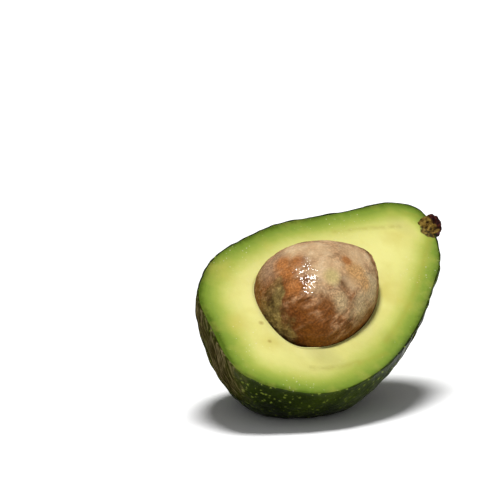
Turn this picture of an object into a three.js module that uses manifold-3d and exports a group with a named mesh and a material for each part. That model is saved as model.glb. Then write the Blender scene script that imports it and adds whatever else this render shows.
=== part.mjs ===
// Half an avocado, cut lengthwise, with its stone still in the hollow.
// Units are millimetres and +Z is up. The half lies on the rounded back of its blunt end, with the cut face
// leaning towards -Y, and the origin is the middle of the small flat spot that it rests on.
//
// Everything is drawn first in the fruit's own frame: x runs from the blunt end to the stalk end, y goes
// across the cut face, and z stands out of the cut face. The back of the fruit is on the side where z < 0.
import * as THREE from "three";
import { mergeVertices } from "three/addons/utils/BufferGeometryUtils.js";
import Module from "manifold-3d";

// The fruit. Each station is [x, middle of the cut face, half its width], from the blunt end to the stalk end.
const LENGTH = 113.2;
const STATIONS = [
  [0, -10, 0],
  [3, -9, 12.2],
  [7, -7.3, 19.3],
  [14, -4.9, 27.7],
  [24, -3.8, 33.5],
  [36, -2.9, 36.1],
  [50, -1.9, 35.2],
  [64, -0.9, 32.2],
  [78, -0.4, 26.9],
  [90, 0.6, 21.3],
  [99, 2.2, 17.1],
  [105, 4.4, 13],
  [110, 6.6, 7.2],
  [LENGTH, 7, 0],
];
const BACK_DEPTH = 1.01; // depth of the back as a share of half the width
const BELLY = { x: 66, along: 26, side: 151, round: 34, swell: 0.04 }; // fuller part of the back, side in degrees
const BLOSSOM = { x: 4, y: 12, z: -11, radius: 13, depth: 2.2 }; // the dimple where the flower was

// The layers.
const PEEL = 1; // thickness of the peel
const GAP = 0.3; // clearance between neighbouring pieces

// The relief of the peel: fine pebbles on broad, shallow lumps.
const PEBBLE = { spacing: 6, height: 0.16 };
const LUMP = { spacing: 26, height: 0.28 };
const WAVES = 7; // plane waves that add up to one relief
const TURN = Math.PI * (3 - Math.sqrt(5)); // golden angle, which spreads the waves evenly

// The stone: a flattened ball, whose outline in the cut face is part oval and part rounded triangle.
const STONE = { x: 48.3, y: -2.3, radius: 21.9, height: 19.8 };
const OVAL = { share: 0.098, turn: 2 }; // how far the outline swells twice round, and where, in degrees
const CORNER = { share: 0.068, turn: -10 }; // the same three times round
const STONE_LUMP = { spacing: 19, height: 0.22 };

// The stalk's stub: a woody button with a short root in the flesh. The profile is [along, radius].
const STUB = { x: 106, y: 0.9, z: -0.3, turn: -22, ragged: 0.3, teeth: 9 };
const STUB_PROFILE = [
  [0, 0],
  [0.3, 2.6],
  [1.3, 3.5],
  [2.5, 3.7],
  [3.7, 4.1],
  [4.8, 4.3],
  [5.9, 4.1],
  [6.7, 3.2],
  [6.9, 1.9],
  [6.8, 0],
];
const STUB_CUT = { x: 107, z: -0.2, rise: 38 }; // the knife's path through the stub, rising outwards, in degrees
const STUB_PITS = [
  [108.3, -2, 0.5],
  [109.2, 0.7, 0.5],
  [110.2, -1.2, 0.5],
];

// How the half lies.
const POSE = { heading: 21.9, lean: 32.9, spin: 27.5 }; // degrees, about Z, then X, then the face's own normal
const REST = { press: 4.8, blend: 0.5 }; // how far the back is pressed flat, and how softly the flat begins

// How finely each surface is divided, [round, along].
const FINE = [68, 72];
const PLAIN = [40, 40];
const STONE_FACETS = [40, 24];

const radians = THREE.MathUtils.degToRad;
const wasm = await Module();
wasm.setup();

// The frame's turn, and the height in the world of a point of the fruit.
const turn = new THREE.Matrix4()
  .makeRotationZ(radians(POSE.heading))
  .multiply(new THREE.Matrix4().makeRotationX(radians(POSE.lean)))
  .multiply(new THREE.Matrix4().makeRotationZ(radians(POSE.spin)));
const up = new THREE.Vector3(0, 0, 1).transformDirection(turn.clone().invert());

// Adds up plane waves in evenly spread directions: a soft, even pebbling with no grid in it.
function waves(p, spacing) {
  let sum = 0;
  for (let i = 0; i < WAVES; i++) {
    const z = 1 - (2 * i + 1) / WAVES;
    const r = Math.sqrt(1 - z * z);
    const along = p.x * r * Math.cos(i * TURN) + p.y * r * Math.sin(i * TURN) + p.z * z;
    sum += Math.cos((2 * Math.PI * along) / spacing + i * i);
  }
  return sum / Math.sqrt(WAVES);
}

// The stations as smooth curves of u, which goes from 0 to 1 and slows down at both rounded ends.
const places = STATIONS.map(([x]) => Math.acos(1 - (2 * x) / LENGTH) / Math.PI);
function smooth(u, column) {
  const last = STATIONS.length - 1;
  let i = 0;
  while (i < last - 1 && u > places[i + 1]) i++;
  const value = (k) => STATIONS[k][column];
  const slope = (k) => {
    const a = Math.max(k - 1, 0);
    const b = Math.min(k + 1, last);
    return (value(b) - value(a)) / (places[b] - places[a]);
  };
  const span = places[i + 1] - places[i];
  const t = (u - places[i]) / span;
  const start = value(i) * (1 + 2 * t) + slope(i) * span * t;
  const end = value(i + 1) * (3 - 2 * t) - slope(i + 1) * span * (1 - t);
  return start * (1 - t) ** 2 + end * t * t;
}

// A point of the fruit's smooth skin: v goes once round, and is 0 and pi in the cut face.
function skinPoint(u, v) {
  const x = (LENGTH * (1 - Math.cos(Math.PI * u))) / 2;
  const beyond = ((x - BELLY.x) / BELLY.along) ** 2;
  const beside = ((v - radians(BELLY.side)) / radians(BELLY.round)) ** 2;
  const half = smooth(u, 2);
  const full = half * (1 + BELLY.swell * Math.exp(-beyond - beside) * Math.sin(v));
  return new THREE.Vector3(x, smooth(u, 1) + full * Math.cos(v), -BACK_DEPTH * full * Math.sin(v));
}

// The outward normal of the smooth skin, by small steps along u and v. At an end it is the mean of all round.
function skinNormal(u, v) {
  const step = 0.002;
  const at = Math.min(Math.max(u, 2 * step), 1 - 2 * step);
  if (Math.abs(u - at) > step) {
    const mean = new THREE.Vector3();
    for (let i = 0; i < 4; i++) mean.add(skinNormal(at, (i * Math.PI) / 2));
    return mean.normalize();
  }
  const alongU = skinPoint(at + step, v).sub(skinPoint(at - step, v));
  const alongV = skinPoint(at, v + step).sub(skinPoint(at, v - step));
  return alongU.cross(alongV).normalize();
}

// The height that the skin's own relief adds at a point.
function skinRelief(p, pebbled) {
  const { x, y, z, radius, depth } = BLOSSOM;
  const far = p.distanceTo(new THREE.Vector3(x, y, z)) / radius;
  const broad = LUMP.height * waves(p, LUMP.spacing) - depth * Math.exp(-far * far);
  return pebbled ? broad + PEBBLE.height * waves(p, PEBBLE.spacing) : broad;
}

// The lowest height of the smooth skin, from which the flat spot is measured.
let lowest = Infinity;
let foot = new THREE.Vector3();
for (let u = 0; u <= 1; u += 0.005)
  for (let v = 0; v <= Math.PI; v += 0.01) {
    const p = skinPoint(u, v);
    if (p.dot(up) < lowest) {
      lowest = p.dot(up);
      foot = p;
    }
  }
const table = lowest + REST.press;

// Presses a point that would lie under the table up on to it, with a soft start.
function pressed(p, inset) {
  const above = p.dot(up) - table - inset;
  let wanted = Math.max(above, 0);
  if (Math.abs(above) < REST.blend) wanted = (above + REST.blend) ** 2 / (4 * REST.blend);
  return p.addScaledVector(up, wanted - above);
}

// three.js geometry to a manifold solid, and back.
function toSolid(geometry) {
  geometry.deleteAttribute("normal");
  geometry.deleteAttribute("uv");
  const merged = mergeVertices(geometry, 1e-4);
  return new wasm.Manifold(
    new wasm.Mesh({
      numProp: 3,
      vertProperties: merged.attributes.position.array,
      triVerts: new Uint32Array(merged.index.array),
    }),
  );
}
function toGeometry(solid) {
  const mesh = solid.getMesh();
  const geometry = new THREE.BufferGeometry()
    .setAttribute("position", new THREE.BufferAttribute(new Float32Array(mesh.vertProperties), 3))
    .setIndex(new THREE.BufferAttribute(new Uint32Array(mesh.triVerts), 1));
  geometry.computeVertexNormals();
  return geometry;
}

// A sphere whose poles are on x, with every vertex moved to where place(direction) says.
function shapedSphere([round, along], place) {
  const geometry = new THREE.SphereGeometry(1, round, along);
  geometry.rotateZ(Math.PI / 2);
  const points = geometry.attributes.position;
  const direction = new THREE.Vector3();
  for (let i = 0; i < points.count; i++) {
    direction.fromBufferAttribute(points, i).normalize();
    points.setXYZ(i, ...place(direction).toArray());
  }
  return toSolid(geometry);
}

// The whole fruit's skin, set in by inset, as a closed solid.
function fruit(facets, inset, pebbled) {
  return shapedSphere(facets, (direction) => {
    const u = Math.acos(-THREE.MathUtils.clamp(direction.x, -1, 1)) / Math.PI;
    const v = Math.PI / 2 - Math.atan2(direction.y, -direction.z);
    const p = skinPoint(u, v);
    p.addScaledVector(skinNormal(u, v), skinRelief(p, pebbled) - inset);
    return pressed(p, inset);
  });
}

// The stone, grown by extra. Its outline follows from reach, the distance from its middle to the tangent at an
// angle, and from the change of reach with that angle.
function stone(extra) {
  return shapedSphere(STONE_FACETS, (direction) => {
    const angle = Math.atan2(direction.y, direction.x);
    const oval = 2 * (angle - radians(OVAL.turn));
    const corner = 3 * (angle - radians(CORNER.turn));
    const reach = STONE.radius * (1 + OVAL.share * Math.cos(oval) + CORNER.share * Math.cos(corner)) + extra;
    const change = -STONE.radius * (2 * OVAL.share * Math.sin(oval) + 3 * CORNER.share * Math.sin(corner));
    const level = Math.hypot(direction.x, direction.y);
    const p = new THREE.Vector3(
      level * (reach * Math.cos(angle) - change * Math.sin(angle)),
      level * (reach * Math.sin(angle) + change * Math.cos(angle)),
      (STONE.height + extra) * direction.z,
    );
    p.addScaledVector(direction, STONE_LUMP.height * waves(direction.clone().multiplyScalar(20), STONE_LUMP.spacing));
    return p.add(new THREE.Vector3(STONE.x, STONE.y, 0));
  });
}

// The stub, grown by extra: a lathe turned on to x, with ragged teeth round its outer rim.
function stub(extra) {
  const profile = STUB_PROFILE.map(([along, radius], i) => {
    const last = i === STUB_PROFILE.length - 1;
    const grown = i === 0 ? -extra : last ? extra : 0;
    return new THREE.Vector2(radius > 0 ? radius + extra : 0, along + grown);
  });
  const geometry = new THREE.LatheGeometry(profile, 27);
  const points = geometry.attributes.position;
  for (let i = 0; i < points.count; i++) {
    const angle = Math.atan2(points.getZ(i), points.getX(i));
    const along = points.getY(i);
    const rim = THREE.MathUtils.smoothstep(along, 2, 6) * STUB.ragged;
    const radius = Math.hypot(points.getX(i), points.getZ(i));
    const scale = 1 + (rim * Math.cos(STUB.teeth * angle)) / 5 + 0.06 * Math.cos(2 * angle + 1);
    const jag = (rim * radius * Math.cos(5 * angle)) / 5;
    points.setXYZ(i, points.getX(i) * scale, along + jag, points.getZ(i) * scale);
  }
  geometry.rotateZ(-Math.PI / 2);
  geometry.rotateZ(radians(STUB.turn));
  geometry.translate(STUB.x, STUB.y, STUB.z);
  return toSolid(geometry);
}

// A block whose underside is the knife's path: level over the fruit, and rising over the stub.
function knife(rise, x, z) {
  const size = 3 * LENGTH;
  const block = new THREE.BoxGeometry(size, size, size);
  block.translate(0, 0, size / 2);
  block.rotateY(-radians(rise));
  block.translate(x, 0, z);
  return toSolid(block);
}

const aboveCut = knife(0, LENGTH / 2, 0);
const stubSocket = stub(GAP);

function makePeel() {
  return fruit(FINE, 0, true).subtract(fruit(PLAIN, PEEL, false)).subtract(aboveCut).subtract(stubSocket);
}

function makeFlesh() {
  return fruit(PLAIN, PEEL + GAP, false).subtract(aboveCut).subtract(stone(GAP)).subtract(stubSocket);
}

function makeStub() {
  let made = stub(0).subtract(knife(STUB_CUT.rise, STUB_CUT.x, STUB_CUT.z));
  for (const [x, y, radius] of STUB_PITS) {
    const height = STUB_CUT.z + (x - STUB_CUT.x) * Math.tan(radians(STUB_CUT.rise));
    made = made.subtract(toSolid(new THREE.SphereGeometry(radius, 10, 8).translate(x, y, height)));
  }
  return made;
}

function piece(name, solid, color, roughness) {
  const material = new THREE.MeshStandardMaterial({ color, roughness, metalness: 0 });
  const mesh = new THREE.Mesh(toGeometry(solid), material);
  mesh.name = name;
  return mesh;
}

// The fruit's frame, turned as it lies and set down with its flat spot on the origin.
const lying = new THREE.Group();
lying.add(
  piece("peel", makePeel(), 0x26380f, 0.35),
  piece("flesh", makeFlesh(), 0xd9d97a, 0.45),
  piece("stone", stone(0), 0x96683c, 0.5),
  piece("stalk_stub", makeStub(), 0x4a3324, 0.85),
);
lying.applyMatrix4(turn);
const ground = foot.clone().addScaledVector(up, REST.press).applyMatrix4(turn);
lying.position.copy(ground).negate();

const avocadoHalf = new THREE.Group();
avocadoHalf.add(lying);

export default avocadoHalf;
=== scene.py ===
"""Half an avocado with its stone, dressed for a studio picture.

Shapes are worked out in millimetres in the fruit's own frame, as in the part's source: x runs from the blunt
end to the stalk end, y across the cut face, and z out of it. settle() then lays them down, in metres.
"""
import math

import bmesh
import bpy
import numpy as np
from mathutils import Matrix, Vector, noise


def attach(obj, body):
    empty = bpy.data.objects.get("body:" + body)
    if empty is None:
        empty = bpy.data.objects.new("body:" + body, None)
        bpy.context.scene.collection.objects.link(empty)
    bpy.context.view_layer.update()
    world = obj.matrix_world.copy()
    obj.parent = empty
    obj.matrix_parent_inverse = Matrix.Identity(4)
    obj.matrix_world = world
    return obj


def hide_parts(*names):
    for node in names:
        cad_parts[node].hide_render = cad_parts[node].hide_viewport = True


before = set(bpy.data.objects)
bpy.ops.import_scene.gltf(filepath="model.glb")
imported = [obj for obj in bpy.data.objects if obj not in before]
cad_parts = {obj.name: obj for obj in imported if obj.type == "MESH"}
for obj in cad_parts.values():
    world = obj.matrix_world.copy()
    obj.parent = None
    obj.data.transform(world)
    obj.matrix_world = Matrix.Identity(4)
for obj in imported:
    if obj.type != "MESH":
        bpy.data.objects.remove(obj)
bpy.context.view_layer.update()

MM = 0.001

# The fruit, with the part's own values. Each station is x, middle of the cut face, half its width.
LENGTH = 113.2
STATIONS = np.array([
    (0, -10, 0),
    (3, -9, 12.2),
    (7, -7.3, 19.3),
    (14, -4.9, 27.7),
    (24, -3.8, 33.5),
    (36, -2.9, 36.1),
    (50, -1.9, 35.2),
    (64, -0.9, 32.2),
    (78, -0.4, 26.9),
    (90, 0.6, 21.3),
    (99, 2.2, 17.1),
    (105, 4.4, 13),
    (110, 6.6, 7.2),
    (LENGTH, 7, 0),
])
PLACES = np.arccos(1 - 2 * STATIONS[:, 0] / LENGTH) / math.pi
BACK_DEPTH = 1.01
BELLY = {"x": 66, "along": 26, "side": math.radians(151), "round": math.radians(34), "swell": 0.04}
BLOSSOM = {"at": (4, 12, -11), "radius": 13, "depth": 2.2}
PEBBLE = {"spacing": 6, "height": 0.16}
LUMP = {"spacing": 26, "height": 0.28}
WAVES = 7
TURN = math.pi * (3 - math.sqrt(5))
SEARCH = {"along": 0.005, "round": 0.01}
NORMAL_STEP = 0.002
TINY = 1e-6

STONE = {"x": 48.3, "y": -2.3, "radius": 21.9, "height": 19.8}
STONE_MIDDLE = np.array((STONE["x"], STONE["y"]))
STONE_OVAL = {"share": 0.098, "turn": math.radians(2)}
STONE_CORNER = {"share": 0.068, "turn": math.radians(-10)}
STONE_LUMP = {"spacing": 19, "height": 0.22, "reach": 20}

STUB = {"x": 106, "y": 0.9, "z": -0.3, "turn": math.radians(-22)}
STUB_PROFILE = np.array([
    (0, 0),
    (0.3, 2.6),
    (1.3, 3.5),
    (2.5, 3.7),
    (3.7, 4.1),
    (4.8, 4.3),
    (5.9, 4.1),
    (6.7, 3.2),
    (6.9, 1.9),
    (6.8, 0),
])
STUB_CUT = {"x": 107, "z": -0.2, "rise": math.radians(38)}
STUB_PITS = [(108.3, -2, 0.7), (109.2, 0.7, 0.6), (110.2, -1.2, 0.6), (107.6, -0.4, 0.7), (109.6, -3.4, 0.6)]

POSE = {"heading": 21.9, "lean": 32.9, "spin": 27.5}
REST = {"press": 4.8, "blend": 0.5}

# What only the dressed piece has.
PEEL_SHOWN = 0.6  # the skin's own dark layer, as thin as the photograph shows it
PORES = {"spacing": 2.4, "height": 0.14}  # fine pebbling on the peel
WORN_EDGE = {"width": 0.15, "corner": math.radians(55)}  # the peel's cut edges, a little rounded
ROUGHNESS = {"finer": 0.7, "closer": 2.1}  # how each octave of roughness follows from the one before
HOLLOW_GAP = 0.06
CRESCENT = {"angle": math.radians(196), "spread": 0.38, "width": 1.7}  # wider gap at one side of the stone
BOWL_SHARE = 0.3  # share of the rings that line the hollow
RIM_DIP = {"depth": 0.25, "width": 0.5}  # the cut face rounds down towards the peel
EDGE_DIP = {"depth": 0.3, "width": 0.6}  # and towards the stone
UNEVEN = {"height": 0.12, "spacing": 31, "sunk": 2.6, "from_rim": 2}  # how the knife left the cut face
SHADED = {"start": 0.42, "over": 0.6}  # how deep in the hollow its painted shade starts

# Marks in the cut face, as places x, y. A fleck also has its radius.
STRANDS = [
    [(78.2, 17.6), (85.4, 13.7), (92.9, 10.1), (100.1, 6.1)],
    [(106.6, 9.5), (108.5, 7.1), (111, 4.5)],
    [
        (105.5, -4.6), (103.2, -5.6), (97.7, -9), (90.1, -13.9), (81.4, -18.8), (73, -22.8), (63.4, -26.8),
        (52.8, -29.9),
    ],
    [(49.1, -34), (42.7, -32.9), (36.5, -31.5)],
    [(22, -23.5), (26.5, -26.8), (32, -29.4), (38.2, -31)],
]
FLECKS = [(23.1, 0.9, 1), (19.2, -6.8, 0.8)]
STAINS = [(17.5, 5, 5), (20, -8, 4), (30, 27, 5), (95, 2, 5), (72, -13, 7)]
PALER = {"depth": 4, "at": [(104, 0.5, 5.5)]}  # less green beside the stalk
GREENER = {"depth": 1.5, "angle": math.radians(172), "spread": 0.55}  # more green at the blunt end
STALK_FOOT = (108.8, -2.4)  # middle of the stalk's brown fibres in the cut face
# Where the drops stand. Their pale colour is a painted highlight.
WET_PATCHES = [(13, -2, 7), (12, -28, 6), (40, 31, 9), (88, -14, 9), (84, 20, 8)]

# Patches on the stone, as x, y, z and radius.
STONE_PATCHES = {
    "film": [
        (43, -5.5, 19, 7.5), (47, 4, 19, 9), (58.4, -6, 17.5, 9), (43.6, 10, 15.7, 6), (57, -15, 11.3, 7),
        (48.5, -13, 16.5, 5),
    ],
    "grey": [(57, -15.3, 11.3, 7), (50, -18.6, 9, 6), (41, -15, 13, 4)],
    "rosy": [(35.1, 12.2, 9.2, 6), (38, 12.3, 11.5, 5)],
    "ruddy": [(35.6, -14.6, 12.7, 4), (28.2, -9.2, 8.3, 6), (30, -16.1, 4.9, 8)],
    "orange": [
        (37.2, 8.5, 14, 3.6), (34.5, 3.8, 14.6, 3.6), (31, -0.5, 12.8, 3.2), (32.7, -2.3, 14.3, 3.2),
        (39.6, 4.2, 17.2, 3.2), (52.7, -6.2, 18.9, 2.2),
    ],
    "tan": [(53, -10.8, 17, 5), (54.5, -14.5, 14, 3.5)],
    "green": [(43, -8.4, 18.4, 3.2)],
    "spark": [(39.7, 2, 17.8, 2.8), (37.2, -3, 17.2, 3.2), (34.1, -6.8, 15.2, 2.6), (36.4, 0.9, 16.4, 2.6)],
}
MEMBRANE_EDGE = np.array([
    (-20, 27), (-11, 26.6), (-7, 26.8), (-4.3, 27.3), (-1.5, 28.7), (2, 30.9), (4.9, 32), (8, 29.5), (12, 25),
])
MEMBRANE_FADE = {"end": 8, "over": 6}  # where it thins out to nothing, across the fruit

# Fine relief of the stone, as heights, spacings and octaves, and how far it is sunk to stay in its hollow.
STONE_RELIEF = [(0.16, 7, 4), (0.07, 1.6, 2)]
STONE_SUNK = 0.1

# How the stub is frayed: its toothed rim, its bark, the fibres torn by the knife, and where the wood ends.
STUB_RIM = {"start": 2, "over": 4, "teeth": 9, "depth": 0.06, "oval": 0.06}
STUB_BARK = {"spacing": 1.6, "height": 0.3, "octaves": 4}
STUB_TORN = {"spacing": 1.3, "height": 0.35, "octaves": 4, "top": 0.1, "pit": 0.7}
STUB_WOOD = {"end": 4.6, "slant": 0.25, "blend": 0.5, "depth": 0.3}

# Places on the peel that are rubbed and streaked, as x, y, z and radius.
RUBBED = [(2, 4, -12, 17), (9, 19, -8, 11), (64, -27, -13, 14)]

# Fineness of the meshes, as segments round and rings from pole to pole.
FLESH_GRID = (384, 220)
PEEL_GRID = (384, 220)
STONE_GRID = (288, 180)
STUB_GRID = (120, 90)
RIM_PLACES = 180

# The camera: straight at the fruit from 12 degrees above the floor, one metre away.
CAMERA = {
    "rise": math.radians(12), "distance": 1000, "lens": 218.16, "sensor": 36, "right": 11.258, "up": 33.824,
}


def turned():
    """The turn from the fruit's frame to the world's."""
    heading = Matrix.Rotation(math.radians(POSE["heading"]), 3, "Z")
    lean = Matrix.Rotation(math.radians(POSE["lean"]), 3, "X")
    spin = Matrix.Rotation(math.radians(POSE["spin"]), 3, "Z")
    return np.array(heading @ lean @ spin)


POSED = turned()
UP = POSED[2]


def waves(p, spacing):
    """Plane waves in evenly spread directions, which add up to a soft pebbling with no grid in it."""
    total = np.zeros(len(p))
    for i in range(WAVES):
        z = 1 - (2 * i + 1) / WAVES
        r = math.sqrt(1 - z * z)
        along = p @ np.array((r * math.cos(i * TURN), r * math.sin(i * TURN), z))
        total += np.cos(2 * math.pi * along / spacing + i * i)
    return total / math.sqrt(WAVES)


def smooth(u, column):
    """The stations as a smooth curve of u, from 0 at the blunt end to 1 at the stalk end."""
    values = STATIONS[:, column]
    last = len(values) - 1
    before = np.maximum(np.arange(last + 1) - 1, 0)
    after = np.minimum(np.arange(last + 1) + 1, last)
    slopes = (values[after] - values[before]) / (PLACES[after] - PLACES[before])
    i = np.clip(np.searchsorted(PLACES, u) - 1, 0, last - 1)
    span = PLACES[i + 1] - PLACES[i]
    t = (u - PLACES[i]) / span
    start = values[i] * (1 + 2 * t) + slopes[i] * span * t
    end = values[i + 1] * (3 - 2 * t) - slopes[i + 1] * span * (1 - t)
    return start * (1 - t) ** 2 + end * t * t


def skin_point(u, v):
    """Points of the fruit's smooth skin. v goes once round and is 0 and pi in the cut face."""
    x = LENGTH * (1 - np.cos(math.pi * u)) / 2
    beyond = ((x - BELLY["x"]) / BELLY["along"]) ** 2
    beside = ((v - BELLY["side"]) / BELLY["round"]) ** 2
    full = smooth(u, 2) * (1 + BELLY["swell"] * np.exp(-beyond - beside) * np.sin(v))
    return np.stack([x, smooth(u, 1) + full * np.cos(v), -BACK_DEPTH * full * np.sin(v)], -1)


def skin_normal(u, v):
    """Outward normals of the smooth skin. At the two ends each is the mean of all round."""
    step = NORMAL_STEP
    at = np.clip(u, 2 * step, 1 - 2 * step)

    def normal(v):
        along_u = skin_point(at + step, v) - skin_point(at - step, v)
        along_v = skin_point(at, v + step) - skin_point(at, v - step)
        n = np.cross(along_u, along_v)
        return n / np.linalg.norm(n, axis=-1, keepdims=True)

    mean = sum(normal(np.full_like(v, i * math.pi / 2)) for i in range(4))
    mean /= np.linalg.norm(mean, axis=-1, keepdims=True)
    return np.where((np.abs(u - at) > step)[:, None], mean, normal(v))


def skin_relief(p, pebbled):
    """The height that the skin's relief adds at each point."""
    far = np.linalg.norm(p - np.array(BLOSSOM["at"]), axis=-1) / BLOSSOM["radius"]
    height = LUMP["height"] * waves(p, LUMP["spacing"]) - BLOSSOM["depth"] * np.exp(-far * far)
    if pebbled:
        height += PEBBLE["height"] * waves(p, PEBBLE["spacing"])
    return height


def lowest_place():
    """The lowest place of the smooth skin, as the part's source finds it."""
    along = np.arange(0, 1 + SEARCH["along"] / 2, SEARCH["along"])
    u, v = np.meshgrid(along, np.arange(0, math.pi, SEARCH["round"]), indexing="ij")
    p = skin_point(u.ravel(), v.ravel())
    return p[(p @ UP).argmin()]


FOOT = lowest_place()
TABLE = FOOT @ UP + REST["press"]
GROUND = POSED @ (FOOT + UP * REST["press"])


def pressed(p, inset):
    """Lifts what would lie under the table up on to it, with a soft start."""
    above = p @ UP - TABLE - inset
    blend = REST["blend"]
    wanted = np.where(np.abs(above) < blend, (above + blend) ** 2 / (4 * blend), np.maximum(above, 0))
    return p + (wanted - above)[:, None] * UP


def fruit_skin(directions, inset, pebbled):
    """The skin in these directions, set in by inset."""
    u = np.arccos(np.clip(-directions[:, 0], -1, 1)) / math.pi
    v = math.pi / 2 - np.arctan2(directions[:, 1], -directions[:, 2])
    p = skin_point(u, v)
    normals = skin_normal(u, v)
    lift = skin_relief(p, pebbled)
    if pebbled:
        lift += PORES["height"] * rough(p, PORES["spacing"])
    return pressed(p + normals * (lift - inset)[:, None], inset)


def rough(points, spacing, octaves=1):
    """Natural roughness at each point, with features about this far apart."""
    return np.array([
        noise.fractal(
            Vector(p) / spacing, ROUGHNESS["finer"], ROUGHNESS["closer"], octaves, noise_basis="PERLIN_NEW",
        ) for p in points
    ])


def patches(points, marks):
    """How strongly each point lies in one of the round, soft marks. Each mark ends with its radius."""
    strength = np.zeros(len(points))
    for mark in marks:
        far = np.linalg.norm(points[:, :len(mark) - 1] - np.array(mark[:-1]), axis=-1) / mark[-1]
        strength = np.maximum(strength, np.exp(-far * far))
    return strength


def distance_to(points, line):
    """The distance in the cut face from each point to a line through places."""
    nearest = np.full(len(points), np.inf)
    for start, end in zip(line, line[1:]):
        start, end = np.array(start, float), np.array(end, float)
        span = end - start
        share = np.clip((points[:, :2] - start) @ span / (span @ span), 0, 1)
        away = points[:, :2] - start - share[:, None] * span
        nearest = np.minimum(nearest, np.linalg.norm(away, axis=-1))
    return nearest


def stone_outline(angle, extra):
    """The stone's outline in the cut face, from its reach to the tangent at each angle."""
    oval = 2 * (angle - STONE_OVAL["turn"])
    corner = 3 * (angle - STONE_CORNER["turn"])
    shares = STONE_OVAL["share"] * np.cos(oval) + STONE_CORNER["share"] * np.cos(corner)
    reach = STONE["radius"] * (1 + shares) + extra
    slope = 2 * STONE_OVAL["share"] * np.sin(oval) + 3 * STONE_CORNER["share"] * np.sin(corner)
    change = -STONE["radius"] * slope
    x = reach * np.cos(angle) - change * np.sin(angle)
    y = reach * np.sin(angle) + change * np.cos(angle)
    return np.stack([x, y], -1)


def stone_skin(directions, extra):
    """The stone's surface in these directions, grown by extra."""
    angle = np.arctan2(directions[:, 1], directions[:, 0])
    level = np.hypot(directions[:, 0], directions[:, 1])
    flat = stone_outline(angle, extra) * level[:, None]
    p = np.column_stack([flat, (STONE["height"] + extra) * directions[:, 2]])
    lumps = STONE_LUMP["height"] * waves(directions * STONE_LUMP["reach"], STONE_LUMP["spacing"])
    p += directions * lumps[:, None]
    return p + np.array((STONE["x"], STONE["y"], 0))


def settle(p):
    """From the fruit's frame in millimetres to the world in metres."""
    return (p @ POSED.T - GROUND) * MM


def ball(grid):
    """A bmesh ball of radius 1, so each vertex is also its own direction."""
    bm = bmesh.new()
    bmesh.ops.create_uvsphere(bm, u_segments=grid[0], v_segments=grid[1], radius=1)
    return bm


def directions_of(bm):
    """The vertices' places as an array, one row each."""
    bm.verts.ensure_lookup_table()
    return np.array([v.co for v in bm.verts])


def move_to(bm, places):
    """Moves each vertex to its row in places."""
    for vertex, place in zip(bm.verts, places):
        vertex.co = place


def finish_piece(name, bm, material, node, values=None):
    """Makes the smooth object with its attributes and material, and ties it to the frame."""
    mesh = bpy.data.meshes.new(name)
    bm.to_mesh(mesh)
    bm.free()
    mesh.shade_smooth()
    for key, numbers in (values or {}).items():
        attribute = mesh.attributes.new(key, "FLOAT", "POINT")
        attribute.data.foreach_set("value", np.asarray(numbers, np.float32))
    piece = bpy.data.objects.new(name, mesh)
    bpy.context.scene.collection.objects.link(piece)
    mesh.materials.append(material)
    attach(piece, "root")
    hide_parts(node)
    return piece


def make_peel(material):
    """The skin: half a shell, with a cut edge level with the flesh."""
    bm = ball(PEEL_GRID)
    every = bm.verts[:] + bm.edges[:] + bm.faces[:]
    bmesh.ops.bisect_plane(
        bm, geom=every, dist=TINY, plane_co=(0, 0, 0), plane_no=(0, 0, 1), clear_outer=True
    )
    directions = directions_of(bm)
    places = fruit_skin(directions, 0, True)
    rim = directions[:, 2] > -TINY
    places[rim, 2] = 0
    move_to(bm, settle(places))
    piece = finish_piece("avocado_peel", bm, material, "peel", {"rubbed": patches(places, RUBBED)})
    wall = piece.modifiers.new("skin thickness", "SOLIDIFY")
    wall.thickness = PEEL_SHOWN * MM
    wall.offset = -1
    wall.use_even_offset = False
    edge = piece.modifiers.new("worn cut edge", "BEVEL")
    edge.width = WORN_EDGE["width"] * MM
    edge.segments = 2
    edge.limit_method = "ANGLE"
    edge.angle_limit = WORN_EDGE["corner"]
    return piece


def cut_face(directions):
    """The upper half of the flesh's ball, laid out as the cut face and the hollow for the stone in it."""
    share = np.arccos(np.clip(directions[:, 2], -1, 1)) / (math.pi / 2)
    level = np.hypot(directions[:, 0], directions[:, 1])
    level[level < TINY] = 1
    flat = directions / level[:, None]
    flat[:, 2] = 0
    rim = fruit_skin(flat, PEEL_SHOWN, False)[:, :2]
    angle = np.arctan2(rim[:, 1] - STONE_MIDDLE[1], rim[:, 0] - STONE_MIDDLE[0])
    aside = np.mod(angle - CRESCENT["angle"] + math.pi, 2 * math.pi) - math.pi
    wide = np.exp(-(aside / CRESCENT["spread"]) ** 2)
    edge = STONE_MIDDLE + stone_outline(angle, HOLLOW_GAP + CRESCENT["width"] * wide)
    outward = np.clip((share - BOWL_SHARE) / (1 - BOWL_SHARE), 0, 1)[:, None]
    inward = np.clip(share / BOWL_SHARE, 0, 1) * math.pi / 2
    flat_part = edge + (rim - edge) * outward
    bowl_part = STONE_MIDDLE + (edge - STONE_MIDDLE) * np.sin(inward)[:, None]
    in_bowl = share < BOWL_SHARE
    xy = np.where(in_bowl[:, None], bowl_part, flat_part)
    from_rim = np.linalg.norm(xy - rim, axis=-1)
    from_edge = np.linalg.norm(xy - edge, axis=-1)
    cut = -RIM_DIP["depth"] * np.exp(-(from_rim / RIM_DIP["width"]) ** 2)
    cut -= EDGE_DIP["depth"] * np.exp(-(from_edge / EDGE_DIP["width"]) ** 2)
    cut += UNEVEN["height"] * (waves(np.column_stack([xy, xy[:, 0]]), UNEVEN["spacing"]) - UNEVEN["sunk"])
    cut *= 1 - np.exp(-from_rim / UNEVEN["from_rim"])
    bowl = -(STONE["height"] + HOLLOW_GAP) * np.cos(inward) - EDGE_DIP["depth"]
    return np.column_stack([xy, np.where(in_bowl, bowl, cut)])


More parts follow.
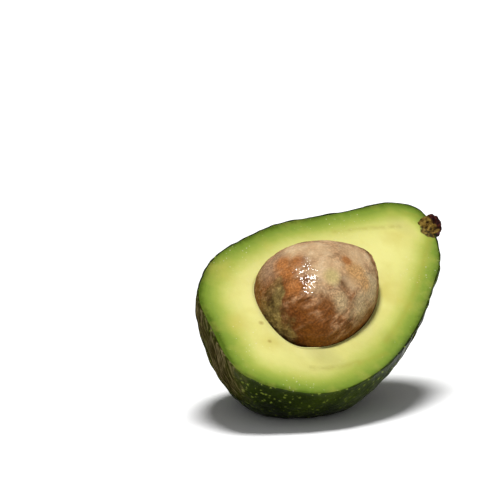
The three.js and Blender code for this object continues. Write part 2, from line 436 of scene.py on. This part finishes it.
def make_flesh(material):
    """The flesh: the ball's lower half lies under the peel, and its upper half is the cut face."""
    bm = ball(FLESH_GRID)
    directions = directions_of(bm)
    places = fruit_skin(directions, PEEL_SHOWN, False)
    upper = directions[:, 2] > -TINY
    places[upper] = cut_face(directions[upper])
    side = np.arctan2(places[:, 1] - STONE_MIDDLE[1], places[:, 0] - STONE_MIDDLE[0])
    beyond = np.mod(side, 2 * math.pi) - GREENER["angle"]
    greener = GREENER["depth"] * np.exp(-(beyond / GREENER["spread"]) ** 2)
    paler = PALER["depth"] * patches(places[:, :2], PALER["at"])
    values = {
        "depth": distance_to(places, rim_line()) - greener + paler,
        "strand": np.min([distance_to(places, line) for line in STRANDS], axis=0),
        "fleck": patches(places, FLECKS),
        "stain": patches(places, STAINS),
        "wet": patches(places, WET_PATCHES),
        # Painted shade: the hollow's wall is coloured darker the deeper it lies.
        "hollow": np.where(upper, np.clip((-places[:, 2] - SHADED["start"]) / SHADED["over"], 0, 1), 0),
        "by_stalk": np.linalg.norm(places[:, :2] - np.array(STALK_FOOT), axis=-1),
        "from_stone": np.linalg.norm(places[:, :2] - nearest_edge(places), axis=-1),
    }
    move_to(bm, settle(places))
    return finish_piece("avocado_flesh", bm, material, "flesh", values)


def nearest_edge(places):
    """The place on the stone's outline that lies in the same direction from its middle."""
    away = places[:, :2] - STONE_MIDDLE
    return STONE_MIDDLE + stone_outline(np.arctan2(away[:, 1], away[:, 0]), 0)


def rim_line():
    """The cut edge of the flesh as a closed line through places x, y."""
    angle = np.linspace(0, 2 * math.pi, RIM_PLACES, endpoint=False)
    line = fruit_skin(np.column_stack([np.cos(angle), np.sin(angle), 0 * angle]), PEEL_SHOWN, False)[:, :2]
    return np.vstack([line, line[:1]])


def make_stone(material):
    """The seed, with fine wrinkles in its papery coat."""
    bm = ball(STONE_GRID)
    directions = directions_of(bm)
    places = stone_skin(directions, 0)
    values = {key: patches(places, marks) for key, marks in STONE_PATCHES.items()}
    values["membrane"] = np.interp(places[:, 1], MEMBRANE_EDGE[:, 0], MEMBRANE_EDGE[:, 1]) - places[:, 0]
    values["ragged"] = np.clip((MEMBRANE_FADE["end"] - places[:, 1]) / MEMBRANE_FADE["over"], 0, 1)
    values["plain"] = values["film"] - values["grey"]
    # Height above the cut face, for the painted shade low on the stone.
    values["height"] = places[:, 2]
    lift = sum(height * rough(places, spacing, octaves) for height, spacing, octaves in STONE_RELIEF)
    places += directions * (lift - STONE_SUNK)[:, None]
    move_to(bm, settle(places))
    return finish_piece("avocado_stone", bm, material, "stone", values)


def make_stub(material):
    """The woody button: a turned profile with a ragged rim, cut down to the knife's path."""
    bm = ball(STUB_GRID)
    directions = directions_of(bm)
    share = np.arccos(np.clip(-directions[:, 0], -1, 1)) / math.pi
    stops = np.linspace(0, 1, len(STUB_PROFILE))
    along = np.interp(share, stops, STUB_PROFILE[:, 0])
    radius = np.interp(share, stops, STUB_PROFILE[:, 1])
    angle = np.arctan2(directions[:, 2], directions[:, 1])
    teeth = np.clip((along - STUB_RIM["start"]) / STUB_RIM["over"], 0, 1) * np.cos(STUB_RIM["teeth"] * angle)
    radius = radius * (1 + STUB_RIM["depth"] * teeth + STUB_RIM["oval"] * np.cos(2 * angle + 1))
    local = np.column_stack([along, radius * np.cos(angle), radius * np.sin(angle)])
    bark = STUB_BARK["height"] * rough(local, STUB_BARK["spacing"], STUB_BARK["octaves"])
    local += directions * bark[:, None]
    c, s = math.cos(STUB["turn"]), math.sin(STUB["turn"])
    places = np.column_stack([
        STUB["x"] + local[:, 0] * c - local[:, 1] * s,
        STUB["y"] + local[:, 0] * s + local[:, 1] * c,
        STUB["z"] + local[:, 2],
    ])
    knife = STUB_CUT["z"] + (places[:, 0] - STUB_CUT["x"]) * math.tan(STUB_CUT["rise"])
    above = places[:, 2] - knife
    torn = np.minimum(rough(places, STUB_TORN["spacing"], STUB_TORN["octaves"]), STUB_TORN["top"])
    pits = patches(places[:, :2], STUB_PITS)
    cut = knife + STUB_TORN["height"] * torn - STUB_TORN["pit"] * pits
    places[:, 2] = np.where(above > 0, cut, places[:, 2])
    move_to(bm, settle(places))
    inside = STUB_WOOD["end"] - local[:, 0] - STUB_WOOD["slant"] * local[:, 1]
    wood = np.clip(inside / STUB_WOOD["blend"], 0, 1) * np.clip(above / STUB_WOOD["depth"] + 0.5, 0, 1)
    values = {"cut": wood, "pit": pits}
    return finish_piece("stalk_stub_half", bm, material, "stalk_stub", values)


# A colour Mix node's sockets by number, since their names aren't unique: share, two colours and result.
SHARE, UNDER, OVER, MIXED = 0, 6, 7, 2


def linear(code):
    """An sRGB hex colour as linear red, green and blue, with alpha 1."""
    parts = [int(code[i:i + 2], 16) / 255 for i in (1, 3, 5)]
    return tuple(c / 12.92 if c <= 0.04045 else ((c + 0.055) / 1.055) ** 2.4 for c in parts) + (1.0,)


def add(tree, kind, inputs=None, stops=None, **settings):
    """Adds a node with its settings, its inputs as links, values or hex colours, and a ramp's stops."""
    made = tree.nodes.new(kind)
    for key, value in settings.items():
        setattr(made, key, value)
    for key, value in (inputs or {}).items():
        if isinstance(value, bpy.types.NodeSocket):
            tree.links.new(value, made.inputs[key])
        else:
            made.inputs[key].default_value = linear(value) if isinstance(value, str) else value
    if stops:
        elements = made.color_ramp.elements
        while len(elements) < len(stops):
            elements.new(0.5)
        for element, (place, colour) in zip(elements, stops):
            element.position = place
            element.color = linear(colour)
    return made


def blank(name):
    """A new material and its empty node tree."""
    material = bpy.data.materials.new(name)
    material.use_nodes = True
    tree = material.node_tree
    tree.nodes.clear()
    return material, tree


def flesh_material():
    """Raw avocado flesh, cut with a knife: oily and faintly see-through, with tiny glossy drops standing on
    it, painted pale as highlights.

    Its soft clouds are about 17, 7 and 2.4 mm across. Fibres, grain and drops are about 1.2 mm apart, coarser
    than real ones, so that they show.
    """
    material, tree = blank("cut avocado flesh")
    place = add(tree, "ShaderNodeTexCoord").outputs["Object"]
    mark = {
        key: add(tree, "ShaderNodeAttribute", attribute_name=key).outputs["Fac"]
        for key in ("depth", "strand", "stain", "fleck", "wet", "hollow", "by_stalk", "from_stone")
    }
    broad = add(tree, "ShaderNodeTexNoise", {"Vector": place, "Scale": 60, "Detail": 2}).outputs["Fac"]
    cloud = add(tree, "ShaderNodeTexNoise", {"Vector": place, "Scale": 140, "Detail": 4}).outputs["Fac"]
    fine = add(tree, "ShaderNodeTexNoise", {"Vector": place, "Scale": 420, "Detail": 4}).outputs["Fac"]

    # From green under the peel to pale yellow, over some 24 mm.
    shift = add(tree, "ShaderNodeMath", {
        0: broad, 1: 3.0, 2: mark["depth"],
    }, operation="MULTIPLY_ADD").outputs[0]
    shift = add(tree, "ShaderNodeMath", {0: fine, 1: 1.6, 2: shift}, operation="MULTIPLY_ADD").outputs[0]
    depth = add(tree, "ShaderNodeMapRange", {"Value": shift, "From Min": 2.3, "From Max": 26.3}).outputs[0]
    colour = add(tree, "ShaderNodeValToRGB", {"Fac": depth}, stops=[
        (0.0, "#4f6612"), (0.042, "#6d8427"), (0.083, "#7c9430"), (0.125, "#859a38"), (0.167, "#92a43f"),
        (0.229, "#a3b14a"), (0.29, "#b6bd5a"), (0.375, "#cbcd6f"), (0.458, "#d9d67f"), (0.583, "#e1dd87"),
        (0.75, "#e5e08c"), (1.0, "#e8e390"),
    ]).outputs["Color"]

    # Paler round the stone, warmer in the stains, with strands, flecks and the stalk's brown fibres in it.
    pale = add(tree, "ShaderNodeMapRange", {
        "Value": mark["from_stone"], "From Min": 0.0, "From Max": 6.0, "To Min": 0.5, "To Max": 0.0,
    }).outputs[0]
    faint = add(tree, "ShaderNodeMath", {
        0: mark["stain"], 1: 0.5, 2: cloud,
    }, operation="MULTIPLY_ADD").outputs[0]
    warm = add(tree, "ShaderNodeMapRange", {
        "Value": faint, "From Min": 0.5, "From Max": 1.1, "To Min": 0.0, "To Max": 0.6,
    }).outputs[0]
    thin = add(tree, "ShaderNodeMapRange", {
        "Value": mark["strand"], "From Min": 0.0, "From Max": 1.7, "To Min": 0.42, "To Max": 0.0,
    }).outputs[0]
    broken = add(tree, "ShaderNodeMapRange", {"Value": fine, "From Min": 0.25, "From Max": 0.6}).outputs[0]
    strands = add(tree, "ShaderNodeMath", {0: thin, 1: broken}, operation="MULTIPLY").outputs[0]
    spots = add(tree, "ShaderNodeMapRange", {
        "Value": mark["fleck"], "From Min": 0.2, "From Max": 1.0, "To Min": 0.0, "To Max": 0.7,
    }).outputs[0]
    frayed = add(tree, "ShaderNodeMath", {
        0: fine, 1: 3.0, 2: mark["by_stalk"],
    }, operation="MULTIPLY_ADD").outputs[0]
    foot = add(tree, "ShaderNodeMapRange", {
        "Value": frayed, "From Min": 5.2, "From Max": 5.8, "To Min": 0.95, "To Max": 0.0,
    }).outputs[0]
    fibres = add(tree, "ShaderNodeTexNoise", {"Vector": place, "Scale": 800, "Detail": 3}).outputs["Fac"]
    wood = add(tree, "ShaderNodeValToRGB", {"Fac": fibres}, stops=[
        (0.42, "#241006"), (0.52, "#573c17"), (0.64, "#897034"),
    ]).outputs["Color"]

    # Drops stand on the damp places, one to a cell and not in every cell. Each drop is raised and glossy, and
    # its pale colour is a painted highlight.
    cells = add(tree, "ShaderNodeTexVoronoi", {"Vector": place, "Scale": 900}, feature="F1")
    drops = add(tree, "ShaderNodeMapRange", {
        "Value": cells.outputs["Distance"], "From Min": 0.1, "From Max": 0.28, "To Min": 1.0, "To Max": 0.0,
    }).outputs[0]
    chance = add(tree, "ShaderNodeSeparateColor", {"Color": cells.outputs["Color"]}).outputs[0]
    damp = add(tree, "ShaderNodeMath", {
        0: mark["wet"], 1: 0.5, 2: chance,
    }, operation="MULTIPLY_ADD").outputs[0]
    chosen = add(tree, "ShaderNodeMapRange", {
        "Value": damp, "From Min": 0.9, "From Max": 1.3, "To Min": 0.0, "To Max": 0.6,
    }).outputs[0]
    # Painted highlight: how strongly each drop is coloured pale.
    painted_glints = add(tree, "ShaderNodeMath", {0: drops, 1: chosen}, operation="MULTIPLY").outputs[0]

    # Of these, the hollow's dark brown is painted shade, darker the deeper the wall lies.
    for share, over in (
        (pale, "#ebe49a"), (warm, "#cbbd5c"), (strands, "#a39a3a"), (spots, "#a58a3c"), (foot, wood),
        (mark["hollow"], "#3f2a10"), (painted_glints, "#f3f1c4"),
    ):
        colour = add(tree, "ShaderNodeMix", {
            SHARE: share, UNDER: colour, OVER: over,
        }, data_type="RGBA").outputs[MIXED]

    grain = add(tree, "ShaderNodeTexNoise", {"Vector": place, "Scale": 900, "Detail": 2}).outputs["Fac"]
    relief = add(tree, "ShaderNodeBump", {"Height": grain, "Distance": 0.0001, "Strength": 0.5}).outputs[0]
    relief = add(tree, "ShaderNodeBump", {
        "Height": fine, "Distance": 0.0003, "Strength": 0.4, "Normal": relief,
    }).outputs[0]
    relief = add(tree, "ShaderNodeBump", {
        "Height": painted_glints, "Distance": 0.0002, "Strength": 0.8, "Normal": relief,
    }).outputs[0]
    gloss = add(tree, "ShaderNodeMapRange", {
        "Value": painted_glints, "From Min": 0.0, "From Max": 0.5, "To Min": 0.45, "To Max": 0.15,
    }).outputs[0]
    shader = add(tree, "ShaderNodeBsdfPrincipled", {
        "Base Color": colour, "Roughness": gloss, "IOR": 1.46, "Specular IOR Level": 0.1, "Normal": relief,
        "Subsurface Weight": 0.15, "Subsurface Radius": (1.0, 0.8, 0.3), "Subsurface Scale": 0.0015,
    }).outputs[0]
    add(tree, "ShaderNodeOutputMaterial", {"Surface": shader})
    return material


def peel_material():
    """Fresh avocado skin: near-black green and waxy, grown in small pebbles, with pale pores between them.

    Its dark clouds are about 14 mm across, the pores 1.6 mm apart and the pebbles 2 mm, as on real skin.
    """
    material, tree = blank("pebbled avocado skin")
    place = add(tree, "ShaderNodeTexCoord").outputs["Object"]
    rubbed = add(tree, "ShaderNodeAttribute", attribute_name="rubbed").outputs["Fac"]
    broad = add(tree, "ShaderNodeTexNoise", {"Vector": place, "Scale": 70, "Detail": 4}).outputs["Fac"]
    colour = add(tree, "ShaderNodeValToRGB", {"Fac": broad}, stops=[
        (0.3, "#151e02"), (0.5, "#253103"), (0.7, "#394707"),
    ]).outputs["Color"]

    # The pores: cells pushed out of shape, each with a size and a strength of its own.
    wobble = add(tree, "ShaderNodeTexNoise", {"Vector": place, "Scale": 1100, "Detail": 2}).outputs["Color"]
    moved = add(tree, "ShaderNodeVectorMath", {
        0: wobble, 1: (0.0013, 0.0013, 0.0013), 2: place,
    }, operation="MULTIPLY_ADD").outputs[0]
    cells = add(tree, "ShaderNodeTexVoronoi", {"Vector": moved, "Scale": 640}, feature="F1")
    chance = add(tree, "ShaderNodeSeparateColor", {"Color": cells.outputs["Color"]}).outputs[0]
    size = add(tree, "ShaderNodeMapRange", {
        "Value": chance, "From Min": 0.0, "From Max": 1.0, "To Min": 0.12, "To Max": 0.46,
    }).outputs[0]
    dots = add(tree, "ShaderNodeMapRange", {
        "Value": cells.outputs["Distance"], "From Min": 0.0, "From Max": size, "To Min": 1.5, "To Max": 0.0,
    }).outputs[0]
    chosen = add(tree, "ShaderNodeMapRange", {
        "Value": chance, "From Min": 0.1, "From Max": 0.9, "To Min": 0.15, "To Max": 1.0,
    }).outputs[0]
    pores = add(tree, "ShaderNodeMath", {0: dots, 1: chosen}, operation="MULTIPLY", use_clamp=True).outputs[0]

    # Dry, corky streaks where the skin is rubbed, 6 mm long and 1.2 mm wide.
    drawn = add(tree, "ShaderNodeMapping", {
        "Vector": place, "Rotation": (0, math.radians(-20), 0), "Scale": (0.0012, 0.0012, 0.006),
    }, vector_type="TEXTURE").outputs[0]
    streak = add(tree, "ShaderNodeTexNoise", {"Vector": drawn, "Scale": 1.0, "Detail": 4}).outputs["Fac"]
    cork = add(tree, "ShaderNodeValToRGB", {"Fac": streak}, stops=[
        (0.36, "#1f190a"), (0.5, "#3d331b"), (0.64, "#75684a"),
    ]).outputs["Color"]
    frayed = add(tree, "ShaderNodeMath", {0: broad, 1: 1.2, 2: rubbed}, operation="MULTIPLY_ADD").outputs[0]
    patch = add(tree, "ShaderNodeMapRange", {
        "Value": frayed, "From Min": 0.8, "From Max": 1.4, "To Min": 0.0, "To Max": 0.85,
    }).outputs[0]

    for share, over in ((pores, "#7f8e34"), (patch, cork)):
        colour = add(tree, "ShaderNodeMix", {
            SHARE: share, UNDER: colour, OVER: over,
        }, data_type="RGBA").outputs[MIXED]
    pebbles = add(tree, "ShaderNodeTexNoise", {"Vector": place, "Scale": 480, "Detail": 3}).outputs["Fac"]
    bump = add(tree, "ShaderNodeBump", {"Height": pebbles, "Distance": 0.0007, "Strength": 0.6}).outputs[0]
    shine = add(tree, "ShaderNodeMapRange", {
        "Value": rubbed, "From Min": 0.0, "From Max": 0.4, "To Min": 0.16, "To Max": 0.0,
    }).outputs[0]
    shader = add(tree, "ShaderNodeBsdfPrincipled", {
        "Base Color": colour, "Roughness": 0.32, "IOR": 1.45, "Specular IOR Level": shine, "Normal": bump,
    }).outputs[0]
    add(tree, "ShaderNodeOutputMaterial", {"Surface": shader})
    return material


def stone_material():
    """A damp avocado seed: brown, with scraps of its papery coat left on it, and beads of juice on one side.

    The scraps' ragged edges go in and out every 8 mm or so, and the mottling is about 3 mm across. Grit and
    beads are 0.7 and 1 mm apart, coarser than real ones, so that they show.
    """
    material, tree = blank("damp avocado seed")
    place = add(tree, "ShaderNodeTexCoord").outputs["Object"]
    mark = {
        key: add(tree, "ShaderNodeAttribute", attribute_name=key).outputs["Fac"]
        for key in (*STONE_PATCHES, "plain", "membrane", "ragged", "height")
    }
    rags = add(tree, "ShaderNodeTexNoise", {"Vector": place, "Scale": 130, "Detail": 5}).outputs["Fac"]
    mottle = add(tree, "ShaderNodeTexNoise", {"Vector": place, "Scale": 300, "Detail": 4}).outputs["Fac"]
    grit = add(tree, "ShaderNodeTexNoise", {"Vector": place, "Scale": 1400, "Detail": 1}).outputs["Fac"]

    # Folds in the coat, 4.5 mm long and 1.6 mm wide.
    drawn = add(tree, "ShaderNodeMapping", {
        "Vector": place, "Rotation": (0, math.radians(-25), 0), "Scale": (0.0045, 0.003, 0.0016),
    }, vector_type="TEXTURE").outputs[0]
    folds = add(tree, "ShaderNodeTexNoise", {"Vector": drawn, "Scale": 1.0, "Detail": 3}).outputs["Fac"]
    colour = add(tree, "ShaderNodeValToRGB", {"Fac": folds}, stops=[
        (0.32, "#58330f"), (0.5, "#805430"), (0.66, "#b08660"),
    ]).outputs["Color"]

    # Patches with frayed edges, each over the ones before. The number is how far the fraying eats into it.
    beige = add(tree, "ShaderNodeValToRGB", {"Fac": mottle}, stops=[
        (0.3, "#c7a37a"), (0.5, "#d4b388"), (0.7, "#dfc39b"),
    ]).outputs["Color"]
    layers = []
    for key, fray, over in (
        ("film", 1.6, beige), ("grey", 1.2, "#b49c74"), ("rosy", 0.8, "#9a7a5c"), ("ruddy", 0.6, "#6e3e13"),
        ("tan", 0.8, "#b98d58"), ("orange", 1.0, "#9f6330"), ("green", 0.5, "#bfad72"),
    ):
        frayed = add(tree, "ShaderNodeMath", {
            0: rags, 1: fray, 2: mark[key],
        }, operation="MULTIPLY_ADD").outputs[0]
        shown = add(tree, "ShaderNodeMapRange", {
            "Value": frayed, "From Min": 0.2 + fray / 2, "From Max": 0.8 + fray / 2,
            "To Min": 0.0, "To Max": 0.85,
        }).outputs[0]
        layers.append((shown, over))

    # Painted shade, a darker brown towards the bottom of the stone, and the olive membrane at the blunt end
    # with a painted shadow along its edge.
    # Painted shade: the lower the surface, the more of the dark brown.
    painted_low_shade = add(tree, "ShaderNodeMapRange", {
        "Value": mark["height"], "From Min": 0.0, "From Max": 8.0, "To Min": 0.85, "To Max": 0.0,
    }).outputs[0]
    torn = add(tree, "ShaderNodeMath", {
        0: rags, 1: 9.0, 2: mark["membrane"],
    }, operation="MULTIPLY_ADD").outputs[0]
    # Painted shadow: a dark red-brown band on the brown side of the membrane's torn edge.
    dark = add(tree, "ShaderNodeMapRange", {
        "Value": torn, "From Min": 2.2, "From Max": 4.4, "To Min": 0.0, "To Max": 0.6,
    }).outputs[0]
    dark = add(tree, "ShaderNodeMath", {0: dark, 1: mark["ragged"]}, operation="MULTIPLY").outputs[0]
    skin = add(tree, "ShaderNodeMapRange", {"Value": torn, "From Min": 4.1, "From Max": 5.6}).outputs[0]
    skin = add(tree, "ShaderNodeMath", {0: skin, 1: mark["ragged"]}, operation="MULTIPLY").outputs[0]
    olive = add(tree, "ShaderNodeValToRGB", {"Fac": mottle}, stops=[
        (0.32, "#46351a"), (0.45, "#69562f"), (0.6, "#836e3f"), (0.75, "#a38d5c"),
    ]).outputs["Color"]
    for share, over in (*layers, (painted_low_shade, "#673d0c"), (dark, "#50280f"), (skin, olive)):
        colour = add(tree, "ShaderNodeMix", {
            SHARE: share, UNDER: colour, OVER: over,
        }, data_type="RGBA").outputs[MIXED]

    # Bright grit on the rough places, less of it where the film lies smooth.
    brightest = add(tree, "ShaderNodeMapRange", {
        "Value": mark["plain"], "From Min": 0.2, "From Max": 0.8, "To Min": 1.6, "To Max": 1.12,
    }).outputs[0]
    light = add(tree, "ShaderNodeMapRange", {
        "Value": grit, "From Min": 0.4, "From Max": 0.75, "To Min": 0.9, "To Max": brightest,
    }).outputs[0]
    speckled = add(tree, "ShaderNodeVectorMath", {0: colour, "Scale": light}, operation="SCALE").outputs[0]
    relief = add(tree, "ShaderNodeMapRange", {
        "Value": mark["plain"], "From Min": 0.0, "From Max": 0.8, "To Min": 1.0, "To Max": 0.15,
    }).outputs[0]
    raised = add(tree, "ShaderNodeMath", {0: folds, 1: relief}, operation="MULTIPLY").outputs[0]
    wrinkles = add(tree, "ShaderNodeBump", {"Height": raised, "Distance": 0.0012, "Strength": 1.0}).outputs[0]

    # Round beads of juice in a glossy coat of their own, which is only there where the stone is wet.
    cells = add(tree, "ShaderNodeTexVoronoi", {"Vector": place, "Scale": 1000}, feature="F1")
    far = cells.outputs["Distance"]
    bead = add(tree, "ShaderNodeMath", {0: far, 1: far}, operation="MULTIPLY").outputs[0]
    beads = add(tree, "ShaderNodeBump", {
        "Height": bead, "Distance": 0.00015, "Strength": 1.0,
    }, invert=True).outputs[0]
    wet = add(tree, "ShaderNodeMapRange", {
        "Value": mark["spark"], "From Min": 0.15, "From Max": 0.8,
    }).outputs[0]
    shader = add(tree, "ShaderNodeBsdfPrincipled", {
        "Base Color": speckled, "Roughness": 0.5, "IOR": 1.45, "Specular IOR Level": 0.08, "Normal": wrinkles,
        "Coat Weight": wet, "Coat Roughness": 0.07, "Coat IOR": 1.7, "Coat Normal": beads,
    }).outputs[0]
    add(tree, "ShaderNodeOutputMaterial", {"Surface": shader})
    return material


def stub_material():
    """Dry stalk wood: dark, corky bark, and an olive cut face with dark pits where the fibres end.

    Its grain is 1.2 mm apart, coarser than real fibres, so that it shows.
    """
    material, tree = blank("dry avocado stalk")
    place = add(tree, "ShaderNodeTexCoord").outputs["Object"]
    cut = add(tree, "ShaderNodeAttribute", attribute_name="cut").outputs["Fac"]
    pit = add(tree, "ShaderNodeAttribute", attribute_name="pit").outputs["Fac"]
    grain = add(tree, "ShaderNodeTexNoise", {"Vector": place, "Scale": 800, "Detail": 3}).outputs["Fac"]
    colour = add(tree, "ShaderNodeValToRGB", {"Fac": grain}, stops=[
        (0.35, "#150507"), (0.55, "#33110e"), (0.75, "#5c2b20"),
    ]).outputs["Color"]
    wood = add(tree, "ShaderNodeValToRGB", {"Fac": grain}, stops=[
        (0.35, "#3c2a0c"), (0.5, "#6e5520"), (0.65, "#917736"),
    ]).outputs["Color"]
    holes = add(tree, "ShaderNodeMapRange", {
        "Value": pit, "From Min": 0.3, "From Max": 0.8, "To Min": 0.0, "To Max": 0.85,
    }).outputs[0]
    for share, over in ((cut, wood), (holes, "#241407")):
        colour = add(tree, "ShaderNodeMix", {
            SHARE: share, UNDER: colour, OVER: over,
        }, data_type="RGBA").outputs[MIXED]
    bump = add(tree, "ShaderNodeBump", {"Height": grain, "Distance": 0.0006, "Strength": 0.7}).outputs[0]
    shader = add(tree, "ShaderNodeBsdfPrincipled", {
        "Base Color": colour, "Roughness": 0.5, "Specular IOR Level": 0.05, "Normal": bump,
    }).outputs[0]
    add(tree, "ShaderNodeOutputMaterial", {"Surface": shader})
    return material


def floor_material():
    """Matt white studio paper."""
    material, tree = blank("matt white paper")
    shader = add(tree, "ShaderNodeBsdfPrincipled", {
        "Base Color": "#f6f6f6", "Roughness": 0.9, "Specular IOR Level": 0.1,
    }).outputs[0]
    add(tree, "ShaderNodeOutputMaterial", {"Surface": shader})
    return material


def make_floor():
    """A wide, flat floor of paper, which is stage and no part of the fruit."""
    bm = bmesh.new()
    bmesh.ops.create_grid(bm, x_segments=2, y_segments=2, size=6)
    mesh = bpy.data.meshes.new("studio floor")
    bm.to_mesh(mesh)
    bm.free()
    floor = bpy.data.objects.new("studio floor", mesh)
    bpy.context.scene.collection.objects.link(floor)
    mesh.materials.append(floor_material())
    return floor


def make_camera():
    """The camera looks along +Y and down, with the fruit where the photograph has it."""
    rise = CAMERA["rise"]
    right = np.array((1, 0, 0))
    up = np.array((0, math.sin(rise), math.cos(rise)))
    back = np.array((0, -math.cos(rise), math.sin(rise)))
    target = -GROUND + CAMERA["right"] * right + CAMERA["up"] * up
    data = bpy.data.cameras.new("camera")
    data.lens = CAMERA["lens"]
    data.sensor_width = CAMERA["sensor"]
    camera = bpy.data.objects.new("camera", data)
    camera.location = (target + CAMERA["distance"] * back) * MM
    camera.rotation_euler = (math.pi / 2 - rise, 0, 0)
    bpy.context.scene.collection.objects.link(camera)
    bpy.context.scene.camera = camera


def make_sun(name, energy, angle, source, lit):
    """A distant lamp that shines from source on the objects in lit. Its angle in degrees makes it soft."""
    data = bpy.data.lights.new(name, "SUN")
    data.energy = energy
    data.angle = math.radians(angle)
    lamp = bpy.data.objects.new(name, data)
    lamp.rotation_euler = (-Vector(source)).to_track_quat("-Z", "Y").to_euler()
    bpy.context.scene.collection.objects.link(lamp)
    receivers = bpy.data.collections.new("lit by " + name)
    for thing in lit:
        receivers.objects.link(thing)
    lamp.light_linking.receiver_collection = receivers


def make_light(floor, pieces):
    """A soft key on the fruit from the upper left in front, an overhead lamp on the floor, white around."""
    make_sun("key", energy=2.5, angle=11, source=(-0.15, -0.42, 0.9), lit=pieces)
    make_sun("back light", energy=0.6, angle=20, source=(0.0, 0.47, 0.88), lit=pieces)
    make_sun("overhead", energy=4.2, angle=21, source=(0.0, 0.47, 0.88), lit=[floor])
    world = bpy.data.worlds.new("white surroundings")
    world.use_nodes = True
    sky = world.node_tree.nodes["Background"]
    sky.inputs["Color"].default_value = (1, 1, 1, 1)
    sky.inputs["Strength"].default_value = 0.24
    bpy.context.scene.world = world
    bpy.context.scene.view_settings.view_transform = "Standard"


make_camera()
studio_floor = make_floor()
fruit_pieces = [
    make_peel(peel_material()),
    make_flesh(flesh_material()),
    make_stone(stone_material()),
    make_stub(stub_material()),
]
make_light(studio_floor, fruit_pieces)
